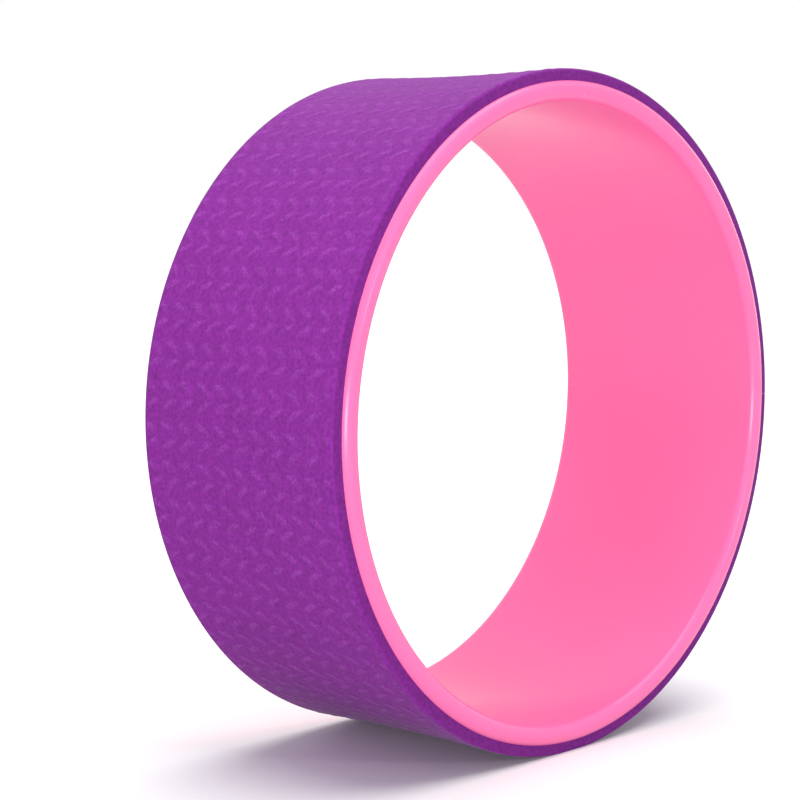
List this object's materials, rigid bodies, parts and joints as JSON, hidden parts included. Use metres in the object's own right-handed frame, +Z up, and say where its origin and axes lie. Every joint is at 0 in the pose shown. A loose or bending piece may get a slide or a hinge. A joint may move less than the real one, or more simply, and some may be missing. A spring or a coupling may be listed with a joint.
{
  "type": "yoga wheel",
  "caption": "Hollow yoga wheel: a rigid plastic hoop with rounded lips, wrapped in a strip of foam mat, for rolling and back-bend stretches.",
  "frame": {"origin": "centre of the wheel, on its axis and midway between its two lips", "axes": "+Y along the wheel's axis, +Z up as it stands on its tread, +X the way it rolls"},
  "size_m": [0.305, 0.119, 0.3043],
  "materials": {
    "hoop_plastic": "pink moulded plastic, smooth and semi-gloss",
    "mat_foam": "purple closed-cell foam, matt, embossed",
    "adhesive": "thin cured adhesive"
  },
  "bodies": {
    "root": {"hoop": "hoop_plastic", "bonding_film": "adhesive", "tread_mat": "mat_foam", "seam_bond": "adhesive"}
  },
  "joints": []
}
